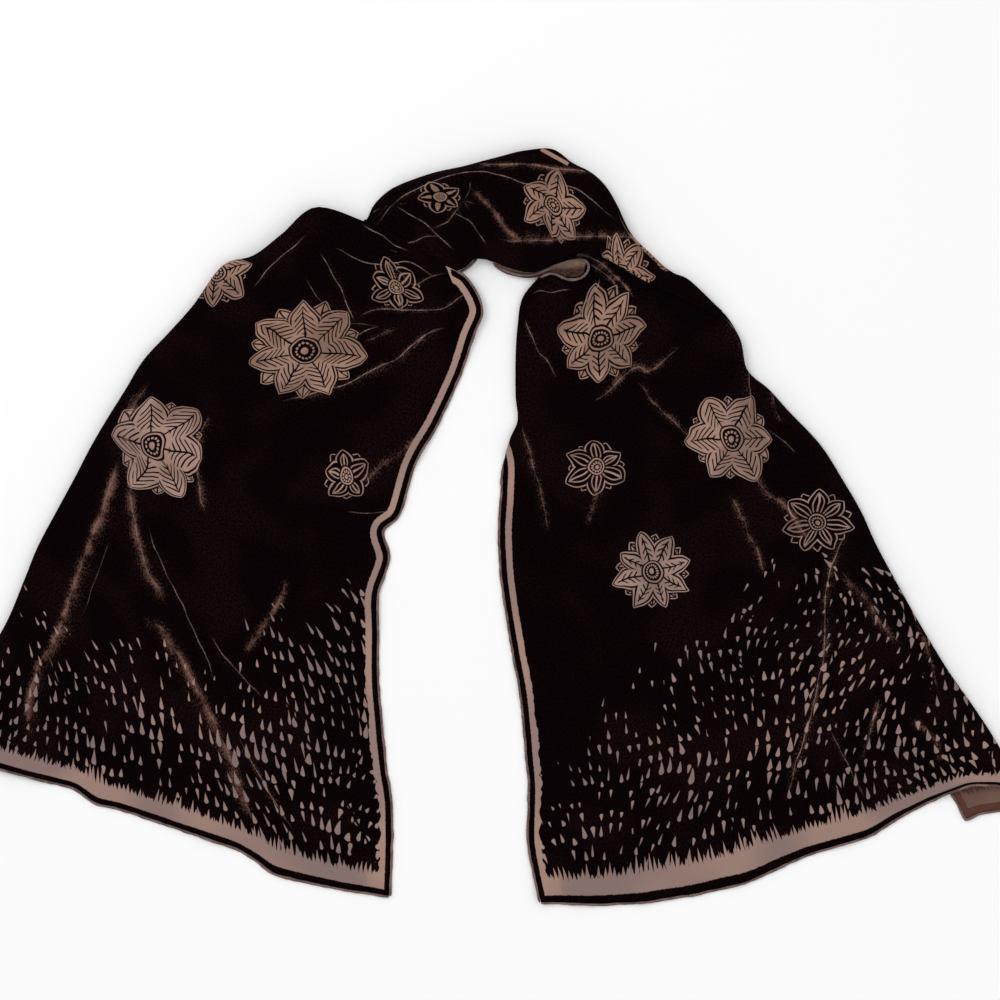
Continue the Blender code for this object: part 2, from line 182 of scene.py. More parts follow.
NECK_CREASES = [
    (4, 7, 16, 1.2, 0.1, 1, [(-110, 296), (-102, 301), (-88, 318), (-77, 327), (-54, 340), (-27, 350),
        (-1, 355), (20, 351), (40, 345), (51, 341), (70, 340), (97, 338), (116, 324), (141, 303)]),
    (2.5, 6, 10, 1.4, 0.9, 0.8, [(-12, 361), (-3, 362), (40, 362), (70, 359), (97, 356), (120, 351)]),
    (5, 18, 9, 1.3, 0.8, 0.7, [(20, 289), (26, 286), (49, 285), (70, 286), (87, 287), (106, 290),
        (135, 289), (154, 289), (166, 284), (186, 262)]),
    (3, 6, 8, 1.2, 0, 1, [(-82, 321), (-59, 308), (-43, 295), (-22, 276)]),
    (2.5, 6, 8, 1.2, 0.2, 0.9, [(-86, 282), (-63, 285), (-52, 290), (-38, 290)]),
    (3, 7, 9, 1.2, 0.2, 0.8, [(-47, 297), (-36, 301), (-29, 304), (-23, 313), (-13, 324), (-2, 321)]),
    (3, 7, 8, 1.2, 0.1, 0.8, [(-24, 314), (-8, 305), (1, 294), (11, 279)]),
    (3, 9, 9, 1.5, 1, 0.1, [(-6, 340), (9, 322), (20, 311), (28, 298), (44, 284)]),
    (2, 6, 6, 1.2, 0, 0.6, [(-6, 345), (-9, 333), (-16, 318)]),
    (2, 6, 6, 1.2, 0, 0.6, [(-118, 302), (-107, 312), (-96, 320)]),
]

Layer = namedtuple("Layer", "name low high outer_inset inner_inset outer_fall inner_fall")
# the folded layers of the neck from the surface up: low and high as shares of its rise, the
# insets of their sides in mm, and how far the crown falls away to each side as a share
NECK_LAYERS = [
    Layer("neck_low_layer", 0.00, 0.34, 0.0, 3.0, 0.0, 0.0),
    Layer("neck_middle_layer", 0.35, 0.66, 1.5, 2.0, 0.0, 0.0),
    Layer("neck_top_layer", 0.67, 1.00, 3.0, 0.0, 0.25, 0.30),
]

# A bit of the border that shows on the neck: x and y of its two ends, and half its width.
NECK_BAND = (64, 377, 91, 362, 1.9)

# The neck's edge where it turns back in a loop: x, y and height along the cloth's two edges,
# along its hem, and along the hem that shows at the left of the neck's opening.
LOOP_UPPER = [
    (16, 264, 7), (30, 260, 7.2), (49, 257, 7.4), (63, 257, 7.8), (76, 261, 8.2), (90, 265.5, 8.8),
    (101, 266.5, 9.4), (109, 266, 9.8),
]
LOOP_LOWER = [
    (18, 260, 5.6), (30, 253, 5.8), (49, 249, 6), (64, 250.5, 6.4), (76, 253.5, 6.8), (88, 250, 7),
    (99, 250, 7.6), (107, 254, 8.2),
]
LOOP_HEM = [
    (18, 261, 6.6), (29, 255.5, 6.6), (42, 252, 6.8), (57, 252.5, 7.4), (70, 257, 8.2),
    (80, 262, 8.8), (91, 265.5, 9.2), (101, 266.5, 9.8), (109.5, 266, 10.2), (112.5, 260, 9.8),
    (109, 252.5, 9), (99, 247.5, 8.4), (89, 247.5, 8), (80, 252, 7.8), (72, 253.5, 7.4),
    (63, 249, 6.8),
]
UNDER_EDGE = [
    (-27, 251, 1.6), (-17, 255, 1.8), (-8, 260, 2.2), (0, 268, 2.6),
]

# Own blossoms on the flat cloth: mm from the inner side and from the end, radius, petals, turn
# in whole turns, and 1 for filled petals or 0 for outlined ones.
LEFT_FLOWERS = [
    (152, 500, 62, 7, 0.03, 1), (246, 352, 52, 6, 0.1, 1), (88, 592, 30, 6, 0.05, 0),
    (262, 552, 34, 6, 0.02, 1), (346, 432, 38, 8, 0.06, 0), (62, 398, 27, 5, 0.12, 0),
    (470, 300, 46, 6, 0, 1),
]
RIGHT_FLOWERS = [
    (110, 532, 47, 7, 0.04, 1), (232, 420, 47, 6, 0.09, 1), (94, 400, 33, 6, 0, 0),
    (150, 292, 43, 8, 0.03, 1), (318, 330, 40, 7, 0.11, 0), (356, 470, 30, 5, 0.05, 1),
    (470, 380, 46, 6, 0, 1),
]
NECK_FLOWERS = [
    (48, 196, 35, 6, 0.08, 1), (36, 292, 40, 7, 0, 1), (22, 96, 20, 5, 0, 0),
]

Drops = namedtuple("Drops", "high more least most upright size growth")
# the scatter of drops: how high it goes at the inner side and how much more per mm across, the
# least and most that this comes to, the share of upright ones, their size at the inner side and
# how much larger they are per mm across
LEFT_DROPS = Drops(352.0, -0.85, 185.0, 352.0, 0.68, 1.06, -0.0007)
RIGHT_DROPS = Drops(160.0, 0.52, 160.0, 322.0, 0.52, 0.74, 0.0005)


# ---------------------------------------------------------------- small maths
def ease(share):
    """A soft step from 0 to 1."""
    share = np.clip(share, 0, 1)
    return share * share * (3 - 2 * share)


def read_between(table, places):
    """The table's columns at fractional rows, on a smooth curve through its rows."""
    values = np.array(table, float)
    last = len(values) - 1
    start = np.clip(np.floor(places).astype(int), 0, last - 1)
    share = (np.asarray(places) - start)[:, None]
    before, here, after, beyond = (values[np.clip(start + step, 0, last)]
                                   for step in (-1, 0, 1, 2))
    square = share * share
    cube = square * share
    return (here * (2 * cube - 3 * square + 1)
            + (after - before) / 2 * (cube - 2 * square + share)
            + after * (3 * square - 2 * cube)
            + (beyond - here) / 2 * (cube - square))


def smooth_path(spots, count):
    """A number of places on a smooth curve through a list of spots."""
    return read_between(spots, np.linspace(0, len(spots) - 1, count))


def run_along(points):
    """Distance from the first point to each one."""
    steps = np.sqrt((np.diff(points, axis=0) ** 2).sum(1))
    return np.concatenate(([0], np.cumsum(steps)))


def middle_line(rows):
    """Midway between the two sides of each row."""
    return (rows[:, 0:2] + rows[:, 2:4]) / 2


def stations_of(table):
    """Rows of the table one sheet step apart, and their distance along its middle line."""
    fine = np.linspace(0, len(table) - 1, (len(table) - 1) * 24 + 1)
    run = run_along(middle_line(read_between(table, fine)))
    count = int(round(run[-1] / SHEET_STEP)) + 1
    stations = read_between(table, np.interp(np.linspace(0, run[-1], count), run, fine))
    return stations, run_along(middle_line(stations))


def wave_at(waves, across):
    """How far an end stands out, on a softened line through its waves."""
    fine = np.linspace(0, 1, 240)
    straight = np.interp(fine, *zip(*waves))
    kernel = np.hanning(13)
    soft = np.convolve(np.pad(straight, 6, mode="edge"), kernel / kernel.sum(), mode="valid")
    return np.interp(across, fine, soft)


def ripple(x, y, seed, wavelength):
    """Smooth unevenness between about -1 and 1, the same on each run."""
    total = np.zeros_like(x)
    chance = np.random.RandomState(seed)
    for _ in range(7):
        angle = chance.uniform(0, TURN)
        length = wavelength * chance.uniform(0.7, 1.6)
        shift = chance.uniform(0, TURN)
        along = x * math.cos(angle) + y * math.sin(angle)
        aside = y * math.cos(angle) - x * math.sin(angle)
        bend = 0.8 * np.sin(aside * TURN / (length * 2.3) + shift * 1.7)
        total += np.sin(along * TURN / length + shift + bend)
    return total / 3.4


def off_line(line, x, y):
    """Signed distance from a line, above zero on its left, and the share of its length."""
    gone = run_along(line)
    nearest, signed, share = np.full(x.shape, 1e9), np.zeros(x.shape), np.zeros(x.shape)
    for start, end, done, ended in zip(line[:-1], line[1:], gone[:-1], gone[1:]):
        run, length = end - start, ended - done
        to_x, to_y = x - start[0], y - start[1]
        along = np.clip((to_x * run[0] + to_y * run[1]) / length ** 2, 0, 1)
        distance = np.hypot(to_x - run[0] * along, to_y - run[1] * along)
        closer = distance < nearest
        nearest = np.where(closer, distance, nearest)
        side = np.sign(run[0] * to_y - run[1] * to_x)
        signed = np.where(closer, distance * side, signed)
        share = np.where(closer, (done + along * length) / gone[-1], share)
    return signed, share


CREASE_ENDS = 0.16      # share of a crease's length over which it fades in and out
CREASE_WANDER = 0.7     # how far a crease strays from the smooth line through its spots
CREASE_REACH = 3.2      # how many of its widths a crease is felt over
# the pale line along a crest is a painted highlight
LINE_REACH = 6          # a crest's pale line is looked for this near to it
LINE_SETS = 3           # crests beside each other are kept in different sets
NO_LINE = 50.0          # distance that stands for no crest near


def crease_fields(creases, x, y, seed, scale, on_top):
    """Height of the creases, and the attributes that the velvet reads: pushed-over pile that carries
    a painted sheen, and for each set of crests how far off one is and how strong its painted pale
    highlight line is, none on a turned-under part."""
    raised, sunk, nap = np.zeros((3,) + x.shape)
    lines, others = np.full((2, LINE_SETS) + x.shape, NO_LINE)
    strengths = np.zeros((LINE_SETS,) + x.shape)
    for number, row in enumerate(creases):
        crease = Crease(*row)
        path = smooth_path(crease.spots, 14 * len(crease.spots))
        path = path + CREASE_WANDER * np.column_stack([
            ripple(path[:, 0], path[:, 1], seed + number + more, 26) for more in (0, 70)])
        reach = CREASE_REACH * max(crease.left, crease.right)
        low, high = path.min(0) - reach, path.max(0) + reach
        near = (x > low[0]) & (x < high[0]) & (y > low[1]) & (y < high[1])
        signed, share = off_line(path, x[near], y[near])
        distance = np.abs(signed)
        ends = ease(share / CREASE_ENDS) * ease((1 - share) / CREASE_ENDS)
        uneven = 1 + 0.28 * ripple(x[near], y[near], seed + 40 + number, 48)
        aside = distance / np.where(signed > 0, crease.left, crease.right)
        height = scale * abs(crease.height) * ends * np.exp(-aside ** crease.sharp) * uneven
        if crease.height > 0:
            raised[near] = (raised[near] ** 3 + height ** 3) ** (1 / 3)
        else:
            sunk[near] = np.maximum(sunk[near], height)
        # painted sheen of the pile pushed over beside the crease
        brushed_sheen = crease.nap * ends * (0.75 * np.exp(-(aside / 0.18) ** 1.5)
                                       + 0.30 * np.exp(-(aside / 0.42) ** 2))
        nap[near] = np.maximum(nap[near], brushed_sheen * uneven)
        line, other, strength = (group[number % LINE_SETS]
                                 for group in (lines, others, strengths))
        closer = distance < np.abs(line[near])
        further = np.where(closer, np.abs(line[near]), distance)
        other[near] = np.minimum(other[near], further)
        # strength of the crease's painted pale highlight line
        clear = crease.line * ends * (distance < LINE_REACH)
        strength[near] = np.where(closer, clear, strength[near])
        line[near] = np.where(closer, signed, line[near])
    strengths *= ease((others - 2) / 3)
    fields = {"nap": nap * on_top}
    for number in range(LINE_SETS):
        fields["crease_%d" % number] = lines[number]
        fields["crest_%d" % number] = strengths[number] * on_top
    return raised - sunk, fields


# ---------------------------------------------------------------- meshes
def deselect_all():
    for thing in bpy.context.selected_objects:
        thing.select_set(False)


def cloth_mesh(name, points, cloth, fields, material, around=False):
    """A cloth surface through rows of points in mm, closed across them where it goes around.

    cloth has each point's place on the flat cloth, and fields an attribute's values."""
    rows, columns = points.shape[:2]
    flat = points.reshape(-1, 3)
    row, column = np.meshgrid(np.arange(rows - 1), np.arange(columns - 1 + around),
                              indexing="ij")
    here, after = row * columns + column, row * columns + (column + 1) % columns
    faces = np.stack((here, after, after + columns, here + columns), -1).reshape(-1, 4)
    a, b, c, d = (flat - flat.mean(0))[faces].transpose(1, 0, 2)
    facing = np.cross(c - a, d - b)
    if around:
        outward = (facing * (a + b + c + d)).sum()
    else:
        outward = facing[len(faces) // 2, 2]
    if outward < 0:
        faces = faces[:, ::-1]
    mesh = bpy.data.meshes.new(name)
    mesh.from_pydata((flat * MM).tolist(), (), faces.tolist())
    spots = cloth.reshape(-1, 2)[faces] * MM
    if around:
        # the last strip of faces runs on past the cloth's width, not back to zero
        width = np.ptp(cloth[..., 0]) * MM
        wide = np.ptp(spots[..., 0], axis=1, keepdims=True) > 0.5 * width
        low = spots[..., 0] < spots[..., 0].mean(1, keepdims=True)
        spots[..., 0] += np.where(wide & low, width, 0)
    mesh.uv_layers.new(name="Cloth").data.foreach_set("uv", spots.astype(np.float32).ravel())
    for label, values in fields.items():
        attribute = mesh.attributes.new(label, "FLOAT", "POINT")
        attribute.data.foreach_set("value", values.astype(np.float32).ravel())
    for each in material if isinstance(material, list) else [material]:
        mesh.materials.append(each)
    mesh.shade_smooth()
    thing = bpy.data.objects.new(name, mesh)
    bpy.context.scene.collection.objects.link(thing)
    deselect_all()
    thing.select_set(True)
    bpy.context.view_layer.objects.active = thing
    return thing


def give_wall(thing, thickness, offset=0):
    """Thickness of the cloth, half to each side or all inwards, its back in the last
    material."""
    wall = thing.modifiers.new("wall", "SOLIDIFY")
    wall.thickness = thickness
    wall.offset = offset
    wall.material_offset = len(thing.data.materials) - 1
    bpy.ops.object.modifier_apply(modifier=wall.name)


HEM_OUT = 1.1           # from the cloth's edge to the middle of its hem
HEM_STEP = 2.6
HEM_AROUND = 8
HEM_SEEDS = {"left_side": 61, "left_end": 67, "right_side": 71, "right_end": 79,
             "right_turned": 83, "neck_loop": 89, "neck_under": 97}


def hem_path(points, side):
    """A hem's middle line beside an edge of the cloth, moved out to one side of it."""
    run = np.gradient(points[:, 0:2], axis=0)
    run /= np.maximum(np.hypot(run[:, 0], run[:, 1]), 1e-6)[:, None]
    path = points.copy()
    path[:, 0] += side * run[:, 1] * HEM_OUT
    path[:, 1] -= side * run[:, 0] * HEM_OUT
    return path


def rolled_hem(context, label, path, material):
    """A narrow strip of the cloth rolled on itself along a line, a little uneven."""
    radius = context.scene.scarf_sizes.hem_radius / MM
    seed = HEM_SEEDS[label]
    gone = run_along(path)
    even = np.linspace(0, gone[-1], max(4, int(gone[-1] / HEM_STEP)))
    path = np.column_stack([np.interp(even, gone, path[:, axis]) for axis in range(3)])
    for _ in range(2):
        path[1:-1] = (path[:-2] + 2 * path[1:-1] + path[2:]) / 4
    run = np.gradient(path, axis=0)
    run /= np.linalg.norm(run, axis=1)[:, None]
    aside = np.cross(run, (0, 0, 1))
    aside /= np.linalg.norm(aside, axis=1)[:, None]
    up = np.cross(aside, run)
    thick = radius * (1 + 0.16 * ripple(path[:, 0], path[:, 1], seed, 9))
    thick[[0, -1]] *= 0.5
    wander = 0.35 * ripple(path[:, 0], path[:, 1], seed + 5, 24)
    centre = path + aside * wander[:, None]
    centre[:, 2] = np.maximum(centre[:, 2], thick + 0.05)
    angle = np.linspace(0, TURN, HEM_AROUND, endpoint=False)
    ring = (np.cos(angle)[None, :, None] * aside[:, None, :]
            + np.sin(angle)[None, :, None] * up[:, None, :])
    points = centre[:, None, :] + thick[:, None, None] * ring
    cloth = np.stack(np.broadcast_arrays(angle[None, :] * radius, even[:, None]), -1)
    hem = cloth_mesh(label + "_roll", points, cloth, {}, material, around=True)
    bpy.ops.object.mode_set(mode="EDIT")
    bpy.ops.mesh.select_all(action="DESELECT")
    bpy.ops.mesh.select_non_manifold(extend=False, use_wire=False, use_multi_face=False,
                                     use_non_contiguous=False, use_verts=False)
    bpy.ops.mesh.edge_face_add()
    bpy.ops.mesh.select_all(action="SELECT")
    bpy.ops.mesh.normals_make_consistent(inside=False)
    bpy.ops.object.mode_set(mode="OBJECT")
    hem.data.shade_smooth()
    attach(hem, "root")
    if label != "neck_under":
        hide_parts(label + "_hem")
    return hem


SHEET_STEP = 3.1
STEP_RUN = 30           # length over which the top layer climbs onto the turned-under one
STEP_LEAD = 6           # how far before that layer's hem the climb is done
LAYER_LIFT = 2.4        # between the middles of two layers lying on each other
INNER_RADIUS = 2.6      # of the inner side's fold
ARC_DENSITY = 2.6       # more points round a fold than on the flat
END_REACH = 75          # how far up the cloth an uneven end is felt
SIDE_COLUMNS = 16       # columns whose place on the cloth is measured square to the side
SIDE_TRUE = 18          # how far from the side that measure holds alone
SIDE_BLEND = 20         # and over how much more it gives way to the measure along the section


def fall_profile(width, section):
    """Middle of the wall across one section, from the inner side's hem to the outer side's:
    distance across, height, point density and how far each is in the top layer."""
    tuck, loft, inner_tuck = section[4], section[5], max(0, section[7])
    radius = loft / 2
    inner_radius = min(INNER_RADIUS, inner_tuck / 4)
    turned = max(0, inner_tuck - math.pi * inner_radius)
    down = np.linspace(0, 1, 12)
    angle = np.linspace(0, math.pi, 16)
    top = np.linspace(inner_radius, width - radius, 260)
    climb = ease((top - (width - tuck - STEP_LEAD - STEP_RUN)) / STEP_RUN)
    swell = np.clip((top - (width - tuck - STEP_LEAD)) / (tuck + STEP_LEAD - radius), 0, 1)
    top_height = (2 * inner_radius * (1 - ease((top - inner_radius) / (turned + 30)))
                  + LAYER_LIFT * climb
                  + (loft - LAYER_LIFT) * np.sin(swell * math.pi / 2))
    parts = (
        (inner_radius + turned * (1 - down), 0, 1, 0),
        (inner_radius - inner_radius * np.sin(angle),
         inner_radius - inner_radius * np.cos(angle), ARC_DENSITY, ease(angle / math.pi)),
        (top, top_height, 1, 1),
        (width - radius + radius * np.sin(angle), radius + radius * np.cos(angle),
         ARC_DENSITY, ease(1 - angle / math.pi)),
        (width - radius - (tuck - radius) * down, 0, 1, 0))
    return np.hstack([np.array(np.broadcast_arrays(*part)) for part in parts])


def fall_grid(sections, end_waves, top_waves, corner_skew):
    """Points, cloth places and top-layer share of a whole fall, before its creases."""
    stations, length = stations_of(sections)
    inner, outer, tucks = stations[:, 0:2], stations[:, 2:4], stations[:, 4:5]
    widths = np.hypot(*(outer - inner).T)
    columns = int(round((widths[0] + tucks[0, 0] + 25) / SHEET_STEP))
    across, height, cloth, on_top = np.zeros((4, len(stations), columns))
    for number, section in enumerate(stations):
        far, tall, density, top = fall_profile(widths[number], section)
        run = np.hypot(np.diff(far), np.diff(tall))
        weight = run * (density[1:] + density[:-1]) / 2
        gone, weighted = (np.concatenate(([0], np.cumsum(part))) for part in (run, weight))
        wanted = np.linspace(0, weighted[-1], columns)
        for grid, values in ((across, far), (height, tall), (cloth, gone), (on_top, top)):
            grid[number] = np.interp(wanted, weighted, values)
    unit = (outer - inner) / widths[:, None]
    out = np.column_stack((unit[:, 1], -unit[:, 0]))
    middle = middle_line(stations)
    out *= np.sign(out @ (middle[0] - middle[-1]))[:, None]
    share = across / widths[:, None]
    end_weight, top_weight = (np.clip(1 - reach / END_REACH, 0, 1)[:, None] ** 2
                              for reach in (length, length[-1] - length))
    shift = wave_at(end_waves, share) * end_weight - wave_at(top_waves, share) * top_weight
    turned = (widths[:, None] - across) / tucks
    after_fold = np.arange(columns)[None, :] > columns // 2
    drawn = 0.7 * ease(turned / 0.22) + 0.3 * turned
    shift += corner_skew * end_weight * drawn * (1 - on_top) * after_fold
    x, y = (inner[:, axis:axis + 1] + unit[:, axis:axis + 1] * across
            + out[:, axis:axis + 1] * shift for axis in (0, 1))
    for side, beside in ((0, slice(0, SIDE_COLUMNS)), (-1, slice(-SIDE_COLUMNS, None))):
        if side == 0 and stations[:, 7].any():
            continue
        edge = np.column_stack((x[:, side], y[:, side]))
        straight = np.abs(off_line(edge, x[:, beside], y[:, beside])[0])
        blend = ease((straight - SIDE_TRUE) / SIDE_BLEND)
        there = straight if side == 0 else CLOTH_WIDTH - straight
        cloth[:, beside] = there * (1 - blend) + cloth[:, beside] * blend
    along = np.broadcast_to(length[:, None], cloth.shape)
    points = np.stack((x, y, height + stations[:, 6:7]), -1)
    return points, np.stack((cloth, along), -1), on_top, -out[-1]


CURL_ROWS = 7
CURL_RADIUS = 2.2


def curled_end(points, cloth, fields, beyond):
    """The top end rolled down on itself, as where a fold of the cloth passes under it."""
    rows, places = [points], [cloth]
    for number in range(1, CURL_ROWS + 1):
        angle = math.pi * 0.85 * number / CURL_ROWS
        row, place = points[-1:].copy(), cloth[-1:].copy()
        row[..., 0:2] += beyond * CURL_RADIUS * math.sin(angle)
        row[..., 2] -= CURL_RADIUS * (1 - math.cos(angle))
        place[..., 0] = np.maximum(place[..., 0], SIDE_BAND + 3)
        place[..., 1] += CURL_RADIUS * angle
        rows.append(row)
        places.append(place)
    fields = {key: np.concatenate((values, np.repeat(values[-1:], CURL_ROWS, 0)))
              for key, values in fields.items()}
    return np.concatenate(rows), np.concatenate(places), fields


FLOOR_CLEAR = 0.47      # from the floor to the middle of the cloth's wall
EDGE_REACH = 22         # how far in from the hems their flutter is felt
FLUTTER = 1.3


def creased(points, cloth, on_top, creases, seed, scale):
    """Gives a fall its creases, its soft unevenness and the lift of its edges."""
    x, y = points[..., 0], points[..., 1]
    height, fields = crease_fields(creases, x, y, seed, scale, on_top)
    from_top = cloth[..., 1].max() - cloth[..., 1]
    fade = on_top ** 2 * ease(from_top / 26 + 0.3)
    swell = 0.8 * ripple(x, y, seed + 300, 120) + 0.4 * ripple(x, y, seed + 301, 38)
    crimp = 0.18 * ripple(x, y, seed + 302, 13)
    edge = np.exp(-cloth[..., 0] / EDGE_REACH) + np.exp(-cloth[..., 1] / EDGE_REACH)
    flutter = FLUTTER * edge * (0.6 + ripple(x, y, seed + 303, 70))
    z = points[..., 2] + FLOOR_CLEAR + fade * (height + swell + crimp) + on_top * flutter
    points[..., 2] = np.maximum(z, FLOOR_CLEAR)
    return fields


# ---------------------------------------------------------------- neck layers
NECK_WALL = 0.0005
CROWN, UNDER = 64, 18   # points across a layer's crown and across its flat below
NARROW = 60             # a neck narrower than this has smaller insets of its layers
SIDE_STRAY = 0.8        # how far a layer's folded side strays


def layer_ring(layer, station):
    """One upright ring of a folded layer: crown, inner side, flat below, outer side."""
    outer, inner = station[0:2], station[2:4]
    width = np.hypot(*(inner - outer))
    rise = station[5] - station[4]
    low, high = station[4] + rise * layer.low, station[4] + rise * layer.high
    radius = min((high - low) / 2, width / 5)
    start = layer.outer_inset * min(1, width / NARROW) + radius
    end = width - layer.inner_inset * min(1, width / NARROW) - radius
    top = np.linspace(start, end, CROWN)
    share = (top - start) / max(1e-6, end - start)
    drop = (layer.outer_fall * ease(1 - share / 0.30)
            + layer.inner_fall * ease((share - 0.66) / 0.34)) * rise
    mid = (high + low) / 2
    angle = np.linspace(0, math.pi, 10)[1:-1]
    sine, cosine = np.sin(angle), np.cos(angle)
    across = np.concatenate((top, end + radius * sine, np.linspace(end, start, UNDER),
                             start - radius * sine))
    height = np.concatenate((
        high - drop,
        mid + (high - mid) * cosine - layer.inner_fall * rise * (1 + cosine) / 2,
        np.full(UNDER, low),
        mid - (high - mid) * cosine - layer.outer_fall * rise * (1 - cosine) / 2))
    on_top = np.concatenate((np.ones(CROWN), (1 + cosine) / 2, np.zeros(UNDER),
                             (1 - cosine) / 2))
    run = run_along(np.column_stack((across, height)))
    unit = (inner - outer) / width
    return np.column_stack((outer + unit * across[:, None], height, run, on_top))


def over_right_fall(x, y):
    """1 where the right fall's top end lies under a place, and 0 past that end."""
    start_x, start_y, end_x, end_y = RIGHT_FALL[-1][0:4]
    run_x, run_y = end_x - start_x, end_y - start_y
    length = math.hypot(run_x, run_y)
    share = ((x - start_x) * run_x + (y - start_y) * run_y) / length ** 2
    out = ((y - start_y) * run_x - (x - start_x) * run_y) / length
    reach = wave_at(RIGHT_TOP, np.clip(share, 0, 1))
    return ease((reach - out + 8) / 12) * ease((1.06 - share) / 0.1)


def neck_layer(layer, material, scale, seed):
    """A folded layer of the neck as a flattened tube, the top one with the creases."""
    stations, length = stations_of(NECK)
    rings = np.array([layer_ring(layer, station) for station in stations])
    points, run, on_top = rings[..., 0:3].copy(), rings[..., 3], rings[..., 4]
    along = np.broadcast_to(length[:, None], run.shape)
    x, y = points[..., 0].copy(), points[..., 1].copy()
    uppermost = layer.high == 1
    height, fields = crease_fields(NECK_CREASES, x, y, seed, scale, on_top * uppermost)
    if uppermost:
        crown = on_top ** 2 * ease(np.minimum(along, along.max() - along) / 30)
        points[..., 2] += crown * (height + 0.5 * ripple(x, y, seed + 9, 34))
    side = 1 - on_top
    if layer.low == 0:
        points[..., 2] -= side * stations[:, 4:5] * (1 - over_right_fall(x, y))
    for axis in (0, 1):
        points[..., axis] += SIDE_STRAY * side * ripple(x, y, seed + 3 + axis, 46)
    points[..., 2] = np.maximum(points[..., 2], 0.03)
    tips = []
    for end, further in ((0, 2), (-1, -3)):
        centre = points[end].mean(0)
        heading = (centre - points[further].mean(0))[0:2]
        tip = centre + (points[end] - centre) * (0.8, 0.8, 0.5)
        tip[:, 0:2] += 1.2 * heading / np.hypot(*heading)
        tips.append(tip[None])
    points = np.concatenate((tips[0], points, tips[1]))
    fields["run"], fields["along"] = run, along
    fields = {key: np.concatenate((values[:1], values, values[-1:]))
              for key, values in fields.items()}
    cloth = np.stack((fields.pop("run"), fields.pop("along")), -1)
    return cloth_mesh(layer.name, points, cloth, fields, material, around=True)


# ---------------------------------------------------------------- shaders
def sum_node(operation, reflected=False):
    """A method of Wire that adds one Math node, its values swapped where it is reflected."""
    def add_node(self, *others):
        values = (*others, self) if reflected else (self, *others)
        return self.tree.maths(operation, *values)
    return add_node


class Wire:
    """An output of a shader tree that can be used in sums."""

    def __init__(self, tree, socket):
        self.tree = tree
        self.socket = socket

    __add__, __radd__ = sum_node("ADD"), sum_node("ADD", True)
    __sub__, __rsub__ = sum_node("SUBTRACT"), sum_node("SUBTRACT", True)
    __mul__, __rmul__ = sum_node("MULTIPLY"), sum_node("MULTIPLY", True)
    __truediv__, __rtruediv__ = sum_node("DIVIDE"), sum_node("DIVIDE", True)
    __pow__, __rpow__ = sum_node("POWER"), sum_node("POWER", True)
    __abs__, square_root = sum_node("ABSOLUTE"), sum_node("SQRT")
    below, least, most = sum_node("LESS_THAN"), sum_node("MINIMUM"), sum_node("MAXIMUM")
    part, whole = sum_node("FRACT"), sum_node("FLOOR")
    sine, cosine = sum_node("SINE"), sum_node("COSINE")

    def root(self):
        """Square root, 0 below 0."""
        return self.most(0).square_root()

    def rise(self, low, high, first=0, last=1):
        """0 below low, 1 above high, and a soft step between."""
        return self.tree.node(
            "ShaderNodeMapRange", {"interpolation_type": "SMOOTHSTEP"},
            {"Value": self, "From Min": low, "From Max": high, "To Min": first, "To Max": last})

    def fall(self, low, high):
        """1 below low, 0 above high, and a soft step between."""
        return self.rise(low, high, 1, 0)

    def line(self, start, end, softness):
        """1 between two values, 0 past them, with a soft step of the same width at each."""
        return self.rise(start, start + softness) * self.fall(end, end + softness)


